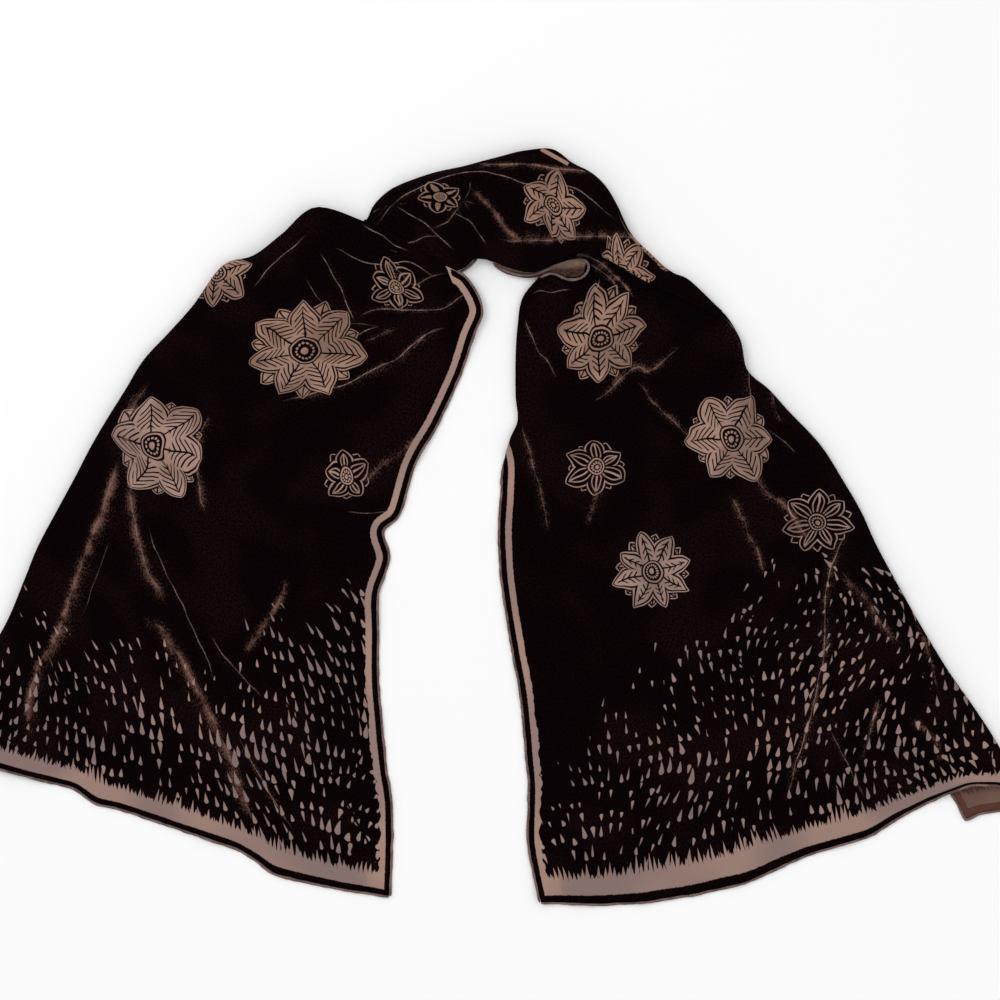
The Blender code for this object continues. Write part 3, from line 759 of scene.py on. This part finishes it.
class Tree:
    """A material's shader tree, filled by one method."""

    def __init__(self, name):
        self.material = bpy.data.materials.new(name)
        self.material.use_nodes = True
        self.nodes = self.material.node_tree.nodes
        self.links = self.material.node_tree.links

    def node(self, kind, settings=None, values=(), output=0):
        node = self.nodes.new(kind)
        for key, value in (settings or {}).items():
            setattr(node, key, value)
        pairs = values.items() if isinstance(values, dict) else enumerate(values)
        for key, value in pairs:
            self.join(node.inputs[key], value)
        if output is None:
            return [Wire(self, socket) for socket in node.outputs]
        return Wire(self, node.outputs[output])

    def join(self, socket, value):
        if isinstance(value, Wire):
            self.links.new(value.socket, socket)
        else:
            socket.default_value = value

    def maths(self, operation, *values):
        return self.node("ShaderNodeMath", {"operation": operation}, values)

    def mix(self, share, *colours):
        """Colour between two, by share."""
        first, second = (colour if isinstance(colour, Wire) else (*colour, 1)
                         for colour in colours)
        return self.node("ShaderNodeMix", {"data_type": "RGBA"}, {0: share, 6: first, 7: second},
                         2)

    def pick(self, share, first, second):
        """The first vector where share is 0, the second where it is 1."""
        return self.node("ShaderNodeMix", {"data_type": "VECTOR"},
                         {0: share, 4: first, 5: second}, 1)

    def vector(self, operation, first, second):
        return self.node("ShaderNodeVectorMath", {"operation": operation}, (first, second))

    def split(self, vector):
        return self.node("ShaderNodeSeparateXYZ", None, (vector,), None)

    def millimetres(self, place):
        """The first two numbers of a place in metres."""
        return self.split(self.vector("MULTIPLY", place, (1000, 1000, 0)))[:2]

    def cloth_place(self):
        """The place on the flat cloth."""
        return self.node("ShaderNodeUVMap", {"uv_map": "Cloth"})

    def gather(self, x, y, z=0):
        return self.node("ShaderNodeCombineXYZ", None, (x, y, z))

    def noise(self, vector, scale, detail=0):
        return self.node("ShaderNodeTexNoise", {"noise_dimensions": "2D"},
                         {"Vector": vector, "Scale": scale, "Detail": detail}, "Fac")

    def fibre(self, place, across, along):
        """Fine unevenness, so many times a metre across and along the cloth."""
        return self.noise(self.vector("MULTIPLY", place, (across, along, 1)), 1, 2)

    def chance(self, x, y):
        """A random number for a pair of numbers, the same wherever they come again."""
        return self.node("ShaderNodeTexWhiteNoise", {"noise_dimensions": "2D"},
                         {"Vector": self.gather(x, y)}, "Value")

    def attribute(self, name):
        return self.node("ShaderNodeAttribute", {"attribute_name": name}, (), "Fac")

    def surface(self, bump=None, **values):
        """Fills the shader's sockets by name and returns the material.

        bump has the bumps' strength, their distance in metres and their height."""
        if bump:
            values["Normal"] = self.node("ShaderNodeBump", None, dict(
                zip(("Strength", "Distance", "Height"), bump)))
        for key, value in values.items():
            self.join(self.nodes["Principled BSDF"].inputs[key.replace("_", " ")], value)
        return self.material


DARK_STRIPE = 5.4       # mm from the hem to the border's inner tan band
BACK_STRIPE = 7.6       # the same, as it shows through on the back
SIDE_BAND = 11.6
END_BAND = 21
TOOTH = 4.5             # period of the end band's teeth
THREAD = 0.7            # period of the ground's weave
DROP_WIDE = 10          # cell of one drop
DROP_TALL = 15.2


def border(tree, u, v, place, stripe):
    """Burned-out band along the sides and the toothed one along the end."""
    wobble = (tree.noise(place, 24, 1) - 0.5) * 2.2
    rough = (tree.noise(place, 330, 2) - 0.5) * 1.3
    side = u.least(CLOTH_WIDTH - u) + wobble * 0.5
    end = v + wobble * 0.5
    inside = (side.least(end) + rough * 0.7 - stripe).rise(-0.3, 0.3)
    low = 1 - (v / 260).least(1)
    side_notch = ((tree.noise(place, 110, 0) - 0.5) * 9 * low).most(-3)
    side_band = (SIDE_BAND + side_notch + rough - side).rise(-0.3, 0.3)
    lean = (tree.noise(place, 9, 0) - 0.5) * 1.6
    run = (u + (v - END_BAND) * lean) / TOOTH + wobble * 0.3
    tall = 3 + 12 * tree.chance(run.whole(), 3) ** 1.5
    tooth = (1 - abs(run.part() * 2 - 1)) * tall
    small = run * 2.37 + 0.4
    tiny = (1 - abs(small.part() * 2 - 1)) * (1 + 5 * tree.chance(small.whole(), 9))
    reach = END_BAND - 5 + wobble * 1.6 + tooth.most(tiny)
    return inside * side_band.most((reach - end).rise(-0.4, 0.4)), inside


def drops(tree, u, v, place, scatter):
    """Burned-out drops, denser towards the end, most of them pointed towards the neck."""
    grid = tree.gather(u / DROP_WIDE, v / DROP_TALL)
    cells = tree.node("ShaderNodeTexVoronoi", {"voronoi_dimensions": "2D", "feature": "F1"},
                      {"Vector": grid, "Scale": 1, "Randomness": 0.64}, None)
    centre = next(cell for cell in cells if cell.socket.name == "Position")
    colour = next(cell for cell in cells if cell.socket.name == "Color")
    one, two, three = tree.split(colour)
    centre_u, centre_v, _ = tree.split(centre)
    away_u, away_v, _ = tree.split(tree.vector("SUBTRACT", grid, centre))
    away_u = away_u * DROP_WIDE
    away_v = away_v * DROP_TALL
    lean = (tree.noise(place, 5) - 0.5) * 3.4 + (one - 0.5) * 0.35
    across = away_u * lean.cosine() + away_v * lean.sine()
    up = away_v * lean.cosine() - away_u * lean.sine()
    flipped = 2 * (three * 0.6 + tree.noise(place, 8) * 0.4).below(scatter.upright) - 1
    upper = (scatter.high + scatter.more * u).most(scatter.least).least(scatter.most)
    upper = upper + (tree.noise(tree.gather(centre_u, centre_v), 0.32) - 0.5) * 110
    below = (centre_v * DROP_TALL - upper).fall(-90, 0)
    size = ((0.35 + 1.1 * tree.noise(place, 16) + 0.15 * below)
            * (scatter.size + scatter.growth * u))
    tall = (6.8 + 9.4 * two ** 1.3) * size
    wide = (1.35 + 1.9 * one) * size
    share = up * flipped / tall + 0.5
    base = 1 - ((share.least(0.2) - 0.2) / 0.2) ** 2
    tip = (1 - (share - 0.2).most(0) / 0.8).most(0) ** (0.5 + 0.6 * two)
    drop = (wide * base.root() * tip - abs(across) - 0.22).rise(-0.25, 0.25)
    return drop * (one.below(below * 0.86)), two


def leaf(out, share, petals, length, broad):
    """How deep a place is inside the petal that it is in, and where it is in that petal."""
    swing = (share.part() - 0.5) * TURN / petals
    aside = abs(out * swing.sine())
    up = out * swing.cosine()
    rise = up / length
    shape = ((rise * (1 - rise)).most(0) ** 0.78) * 2.9
    return length * shape * broad / petals - aside, aside, up, rise


def blossoms(tree, u, v, place, flowers):
    """Burned-out ground of own open blossoms, and where one is at all."""
    spot = None
    for middle_u, middle_v, radius, *traits in flowers:
        across, along = u - middle_u, v - middle_v
        reach = (across * across + along * along).root() / radius
        here = tree.gather(across, along, radius)
        if spot is None:
            spot, kind, nearest = here, tree.gather(*traits), reach
            continue
        closer = reach.below(nearest)
        spot = tree.pick(closer, spot, here)
        kind = tree.pick(closer, kind, traits)
        nearest = nearest.least(reach)
    across, along, radius = tree.split(spot)
    petals, turn, filled = tree.split(kind)
    across = across + (tree.noise(place, 45, 1) - 0.5) * 6
    elsewhere = tree.vector("ADD", place, (3, 1, 0))
    along = along + (tree.noise(elsewhere, 45, 1) - 0.5) * 6
    out = (across * across + along * along).root()
    share = (tree.maths("ARCTAN2", along, across) / TURN + turn) * petals
    number = tree.maths("FLOORED_MODULO", share.whole(), petals)
    longer = 0.84 + 0.2 * tree.chance(number, petals)
    front, aside, up, rise = leaf(out, share, petals, radius * longer, 2.15)
    back, back_aside, _, _ = leaf(out, share + 0.5, petals, radius * 0.86, 1.9)
    rim = front.line(0, 1.5, 0.5)
    heart = front.rise(3.2, 3.7)
    rib = aside.fall(0.6, 1) * rise.rise(0.22, 0.26) * rise.fall(0.80, 0.86)
    vein = abs(((up + aside * 1.1) / 5.6).part() - 0.5).fall(0.13, 0.2)
    vein = vein * (front - 5 - 2 * rise).rise(-0.3, 0.3) * rise.rise(0.3, 0.36)
    inner_line = front.rise(5.4, 5.8) * front.fall(6.6, 7.1)
    solid = heart * (1 - rib.most(vein)) * filled
    outline = (inner_line * 0.9).most(rib * heart) * (1 - filled)
    petal = rim.most(solid).most(outline)
    back_heart = back.rise(3.2, 3.7) * (1 - back_aside.fall(0.5, 0.9)) * filled
    back_petal = front.fall(-1.6, -1.2) * back.line(0, 1.5, 0.5).most(back_heart)
    bud = radius * 0.2
    past_bud = out - bud
    ring = past_bud.rise(-0.3, 0.3)
    bead = (share * 2).part() - 0.5
    row = out - bud * 0.66
    bead = ((bead * bead) * 5 + (row * row) * 0.5).fall(0.5, 0.8)
    eye = (out - bud * 0.3).fall(-0.3, 0.3)
    petals_here = petal.most(back_petal) * (past_bud - 3).rise(-0.3, 0.3)
    collar = ring * past_bud.fall(1.2, 1.7)
    ground = petals_here.most(collar).most(bead.most(eye) * (1 - ring))
    covered = front.rise(-2, -1).most(back.rise(-2, -1))
    return ground, covered.most((past_bud - 4).fall(-0.3, 0.3))


def neck_band(tree):
    """The bit of the border that shows on the neck, by its place in the frame."""
    from_x, from_y, to_x, to_y, half_width = NECK_BAND
    x, y = tree.millimetres(tree.node("ShaderNodeTexCoord", None, (), "Object"))
    run_x, run_y = to_x - from_x, to_y - from_y
    length = math.hypot(run_x, run_y)
    along = ((x - from_x) * run_x + (y - from_y) * run_y) / length
    aside = abs((x - from_x) * run_y - (y - from_y) * run_x) / length
    return (aside.fall(half_width - 0.3, half_width + 0.3)
            * along.rise(-0.5, 0.5) * along.fall(length - 0.5, length + 0.5))


def cloth_material(name, colours, flowers, scatter, reverse):
    """Velvet with its burned-out ground, seen from its face or from its back; the neck's has
    no scatter of drops."""
    tree = Tree(name)
    place = tree.cloth_place()
    u, v = tree.millimetres(place)
    flower, covered = blossoms(tree, u, v, place, flowers)
    warm = tree.noise(place, 11).rise(0.36, 0.64)
    if scatter is None:
        ground, warm, golden = flower.most(neck_band(tree)), warm * 0.5 + 0.5, 0.85
    else:
        band, inside = border(tree, u, v, place, BACK_STRIPE if reverse else DARK_STRIPE)
        drop, shade = drops(tree, u, v, place, scatter)
        drop = drop * inside * (1 - covered)
        warm = (warm * 0.55 + 0.2 + flower * 0.3 - drop * (1 - band) * (0.05 + 0.3 * shade)
                + (u - 20).fall(0, 6) * 0.3)
        ground = band.most(drop).most(flower * inside)
        golden = flower * v.rise(360, 520) * 0.85
    weave = ((u * TURN / THREAD).sine() * (v * TURN / THREAD).sine()) * 0.5 + 0.5
    fibre = tree.fibre(place, 640, 460)
    if reverse:
        pile = tree.mix(fibre, (0.070, 0.027, 0.020), (0.130, 0.056, 0.041))
        sheer = tree.mix(warm, (0.125, 0.070, 0.056), (0.185, 0.110, 0.088))
    else:
        # patches where the painted sheen and the painted crease highlights are stronger
        sheen_patch = tree.noise(place, 75, 1).rise(0.30, 0.68)
        grain = fibre.rise(0.34, 0.66)
        # painted sheen where the pile is pushed over along the creases
        brushed_sheen = tree.attribute("nap") * (0.4 + 0.9 * sheen_patch) - 0.32 * (1 - grain)
        brushed_sheen = (brushed_sheen * (0.62 + 0.38 * grain)).most(0).least(1)
        # painted pale highlight line along the crest of each crease
        crest_highlight = 0
        for number in range(LINE_SETS):
            near = abs(tree.attribute("crease_%d" % number)).fall(0.05, 0.65)
            crest_highlight = (near * tree.attribute("crest_%d" % number)).most(crest_highlight)
        crest_highlight = (crest_highlight * (0.35 + 0.75 * sheen_patch) * (0.6 + 0.6 * grain)).least(1)
        # painted sheen: random patches of warmer, lighter pile where it leans to the light
        pile = tree.mix(tree.noise(place, 14, 1).rise(0.42, 0.72), colours.pile,
                        colours.sheen_pile)
        pile = tree.mix(grain, (0.0012, 0.0002, 0.0005), pile)
        pile = tree.mix(brushed_sheen, pile, colours.brushed_sheen)
        pile = tree.mix(crest_highlight, pile, colours.crest_highlight)
        sheer = tree.mix(warm.most(0).least(1), colours.cool_ground, colours.ground)
        sheer = tree.mix(golden, sheer, colours.golden_ground)
        # painted sheen on the satin ground: darker patches within the blossoms
        satin_sheen = tree.noise(place, 26, 1).fall(0.34, 0.60) * flower
        sheer = tree.mix(satin_sheen * 0.6, sheer, (0.150, 0.088, 0.066))
        # the crease's painted highlight also lightens the burned-out ground
        sheer = tree.mix(crest_highlight * 0.4, sheer, (0.42, 0.28, 0.23))
    return tree.surface(
        bump=(0.35, 0.0005, fibre * 0.8 + weave * 0.2), Base_Color=tree.mix(ground, pile, sheer),
        Roughness=0.72 + 0.2 * (1 - ground), Sheen_Weight=0.02, Sheen_Roughness=0.35,
        Sheen_Tint=(0.80, 0.42, 0.36, 1), Specular_IOR_Level=0.02)


def loop_material():
    """Inside of the rolled edge: its pale ground at the lip, then brown and shaded."""
    tree = Tree("loop_inside")
    place = tree.cloth_place()
    fibre = tree.fibre(place, 500, 180)
    across, _ = tree.millimetres(place)
    shade = tree.mix(fibre.rise(0.3, 0.7), (0.022, 0.010, 0.008), (0.060, 0.032, 0.025))
    lip = tree.mix(fibre.rise(0.3, 0.7), (0.120, 0.070, 0.048), (0.200, 0.128, 0.096))
    colour = tree.mix((across + fibre * 2.6).rise(17.6, 23), lip, shade)
    return tree.surface(bump=(0.4, 0.0005, fibre), Base_Color=colour,
                        Roughness=0.8 + 0.1 * fibre, Sheen_Weight=0.03, Specular_IOR_Level=0.05)


def hem_material(colours):
    """The cloth rolled narrow, with its slanting stitches."""
    tree = Tree("rolled_edge")
    place = tree.cloth_place()
    around, along = tree.millimetres(place)
    stitch = abs(((along + around * 0.8) / 3.4).part() - 0.5).fall(0.06, 0.16)
    tone = tree.noise(place, 70, 2)
    base = tree.mix(tone.rise(0.35, 0.65), colours.hem, (0.115, 0.070, 0.062))
    colour = tree.mix(stitch * 0.5, base, (0.07, 0.042, 0.040))
    return tree.surface(bump=(0.5, 0.0004, tone * 0.5 - stitch), Base_Color=colour,
                        Roughness=0.75 + 0.1 * tone, Sheen_Weight=0.1, Sheen_Roughness=0.4,
                        Specular_IOR_Level=0.15)


# ---------------------------------------------------------------- sizes and colours
def length_setting(name, description, default, least, most):
    return bpy.props.FloatProperty(name=name, description=description, default=default,
                                   min=least, max=most, subtype="DISTANCE", unit="LENGTH")


def colour_setting(name, description, default):
    return bpy.props.FloatVectorProperty(name=name, description=description, size=3,
                                         default=default, min=0, max=1, subtype="COLOR")


class ScarfSizes(bpy.types.PropertyGroup):
    cloth_wall: length_setting(
        "Cloth thickness", "Thickness of the velvet with its pile", 0.0009, 0.0004, 0.003)
    hem_radius: length_setting(
        "Hem radius", "Half the thickness of the rolled hem", 0.00125, 0.0005, 0.004)
    crease_scale: bpy.props.FloatProperty(
        name="Crease height", description="Height of all creases against the photographed ones",
        default=1, min=0, max=2, subtype="FACTOR")


class ScarfColours(bpy.types.PropertyGroup):
    pile: colour_setting(
        "Pile", "Velvet pile seen from straight above", (0.0040, 0.0009, 0.0015))
    # painted sheen: warmer pile standing in for light caught where the pile leans
    sheen_pile: colour_setting(
        "Warm pile", "Velvet pile where it leans a little", (0.0095, 0.0028, 0.0032))
    # painted sheen of the pile pushed over along a crease
    brushed_sheen: colour_setting(
        "Brushed pile", "Pile that is pushed over along a crease", (0.180, 0.088, 0.066))
    # painted highlight along a sharp crease
    crest_highlight: colour_setting(
        "Crest", "Pale line along a sharp crease", (0.235, 0.160, 0.140))
    ground: colour_setting(
        "Ground cloth", "Sheer ground where the pile is burned out", (0.365, 0.232, 0.188))
    cool_ground: colour_setting(
        "Ground cloth in shade", "The sheer ground's greyer stretches", (0.205, 0.145, 0.140))
    golden_ground: colour_setting(
        "Ground cloth near the neck", "The sheer ground's browner blossoms",
        (0.325, 0.190, 0.135))
    hem: colour_setting("Hem", "Rolled hem", (0.210, 0.140, 0.125))


# ---------------------------------------------------------------- pieces
def velvet(thing, wall, offset=0):
    """Gives a cloth piece its wall and its place in the model."""
    give_wall(thing, wall, offset)
    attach(thing, "root")


def finish_fall(context, name, points, cloth, fields, flowers, scatter):
    """Makes a fall's sheet with its wall, face and back."""
    materials = [cloth_material(name + suffix, context.scene.scarf_colours, flowers, scatter,
                                back) for suffix, back in (("_face", False), ("_back", True))]
    thing = cloth_mesh(name + "_cloth", points, cloth, fields, materials)
    velvet(thing, context.scene.scarf_sizes.cloth_wall)
    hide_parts(name)
    return thing


def add_hems(context, paths):
    """Rolled hems along some paths, all of one material."""
    material = hem_material(context.scene.scarf_colours)
    return [rolled_hem(context, label, path, material) for label, path in paths.items()]


class SCARF_OT_left_fall(bpy.types.Operator):
    """Left end of the scarf with its hems, from its end up to the neck"""
    bl_idname = "scarf.left_fall"
    bl_label = "Left fall"

    def execute(self, context):
        points, cloth, on_top, beyond = fall_grid(LEFT_FALL, LEFT_END, STRAIGHT, -8)
        fields = creased(points, cloth, on_top, LEFT_CREASES, 11,
                         context.scene.scarf_sizes.crease_scale)
        paths = {"left_side": hem_path(points[:, 0], 1), "left_end": hem_path(points[0], -1)}
        points, cloth, fields = curled_end(points, cloth, fields, beyond)
        fall = finish_fall(context, "left_fall", points, cloth, fields, LEFT_FLOWERS, LEFT_DROPS)
        add_hems(context, paths)
        return {"FINISHED"}


class SCARF_OT_right_fall(bpy.types.Operator):
    """Right end of the scarf with its hems, from its end up to the neck"""
    bl_idname = "scarf.right_fall"
    bl_label = "Right fall"

    def execute(self, context):
        points, cloth, on_top, _ = fall_grid(RIGHT_FALL, RIGHT_END, RIGHT_TOP, 34)
        fields = creased(points, cloth, on_top, RIGHT_CREASES, 23,
                         context.scene.scarf_sizes.crease_scale)
        fall = finish_fall(context, "right_fall", points, cloth, fields, RIGHT_FLOWERS,
                           RIGHT_DROPS)
        top = on_top[0] > 0.5
        paths = {"right_side": hem_path(points[:, 0], -1),
                 "right_end": hem_path(points[0][top], 1),
                 "right_turned": np.concatenate((points[0][~top], points[1:18, -1]))}
        add_hems(context, paths)
        return {"FINISHED"}


class SCARF_OT_neck(bpy.types.Operator):
    """Gathered stretch behind the neck, three folded layers on each other"""
    bl_idname = "scarf.neck"
    bl_label = "Neck"

    def execute(self, context):
        below = None
        for number, layer in enumerate(NECK_LAYERS):
            face = cloth_material(layer.name + "_face", context.scene.scarf_colours,
                                  NECK_FLOWERS, None, False)
            thing = neck_layer(layer, face, context.scene.scarf_sizes.crease_scale, 31 + number)
            velvet(thing, NECK_WALL, -1)
            if layer.high == 1:
                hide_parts("neck_gather")
            hems = [] if below else add_hems(context, {"neck_under": smooth_path(UNDER_EDGE, 24)})
            below = layer.name
        return {"FINISHED"}


class SCARF_OT_neck_edge(bpy.types.Operator):
    """The neck's hemmed edge where it turns back in a small loop"""
    bl_idname = "scarf.neck_edge"
    bl_label = "Neck edge"

    def execute(self, context):
        upper, lower = smooth_path(LOOP_UPPER, 40), smooth_path(LOOP_LOWER, 40)
        share = np.linspace(0, 1, 8)
        points = upper[:, None] * (1 - share[:, None]) + lower[:, None] * share[:, None]
        points[..., 2] -= 0.8 * np.sin(share * math.pi)
        cloth = np.stack(np.broadcast_arrays(14 + 12 * share,
                                             run_along(upper)[:, None] + 300), -1)
        loop = cloth_mesh("neck_loop_cloth", points, cloth, {}, loop_material())
        velvet(loop, context.scene.scarf_sizes.cloth_wall)
        hems = add_hems(context, {"neck_loop": smooth_path(LOOP_HEM, 90)})
        return {"FINISHED"}


PHOTO_MIDDLE = (0.023, 0.027)
CAMERA_HEIGHT = 4.005
CAMERA_LENS = 144       # mm, on a sensor that is 36 mm wide


class SCARF_OT_stage(bpy.types.Operator):
    """Pale floor, soft light and the camera straight above"""
    bl_idname = "scarf.stage"
    bl_label = "Stage"

    def execute(self, context):
        deselect_all()
        bpy.ops.mesh.primitive_plane_add(size=12, location=(0, 0, -0.0002))
        floor = context.object
        floor.name = "floor"
        floor.data.materials.append(Tree("pale_floor").surface(
            Base_Color=(0.97, 0.97, 0.97, 1), Roughness=0.9, Specular_IOR_Level=0.1))
        world = bpy.data.worlds.new("studio")
        world.use_nodes = True
        background = world.node_tree.nodes["Background"]
        background.inputs["Color"].default_value = (1, 1, 1, 1)
        background.inputs["Strength"].default_value = 0.75
        context.scene.world = world
        for name, place, size, power in (
                ("high_left", (-1.6, 1.4, 2.6), 1.6, 26),
                ("high_right", (1.8, -0.8, 2.4), 2, 12)):
            lamp = bpy.data.lights.new(name, "AREA")
            lamp.shape = "DISK"
            lamp.size = size
            lamp.energy = power
            thing = bpy.data.objects.new(name, lamp)
            context.scene.collection.objects.link(thing)
            thing.location = place
            thing.rotation_euler = (-thing.location).to_track_quat("-Z", "Y").to_euler()
        camera = bpy.data.cameras.new("overhead")
        camera.sensor_width = 36
        camera.lens = CAMERA_LENS
        camera.clip_end = 20
        thing = bpy.data.objects.new("overhead", camera)
        context.scene.collection.objects.link(thing)
        thing.location = (*PHOTO_MIDDLE, CAMERA_HEIGHT)
        context.scene.camera = thing
        context.scene.view_settings.view_transform = "Standard"
        return {"FINISHED"}


OPERATORS = (SCARF_OT_left_fall, SCARF_OT_right_fall, SCARF_OT_neck, SCARF_OT_neck_edge,
             SCARF_OT_stage)


class SCARF_PT_panel(bpy.types.Panel):
    """Lists the scarf's pieces and their settings"""
    bl_idname = "SCARF_PT_panel"
    bl_label = "Burnout velvet scarf"
    bl_space_type = "VIEW_3D"
    bl_region_type = "UI"
    bl_category = "Scarf"

    def draw(self, context):
        for group in (context.scene.scarf_sizes, context.scene.scarf_colours):
            for key in group.bl_rna.properties.keys():
                if key not in {"rna_type", "name"}:
                    self.layout.prop(group, key)
        for operator in OPERATORS:
            self.layout.operator(operator.bl_idname)


CLASSES = (ScarfSizes, ScarfColours, *OPERATORS, SCARF_PT_panel)


def register():
    for kind in CLASSES:
        bpy.utils.register_class(kind)
    bpy.types.Scene.scarf_sizes = bpy.props.PointerProperty(type=ScarfSizes)
    bpy.types.Scene.scarf_colours = bpy.props.PointerProperty(type=ScarfColours)


def unregister():
    del bpy.types.Scene.scarf_colours
    del bpy.types.Scene.scarf_sizes
    for kind in reversed(CLASSES):
        bpy.utils.unregister_class(kind)


def main():
    register()
    bpy.ops.scarf.left_fall()
    bpy.ops.scarf.right_fall()
    bpy.ops.scarf.neck()
    bpy.ops.scarf.neck_edge()
    bpy.ops.scarf.stage()


if __name__ == "__main__":
    main()
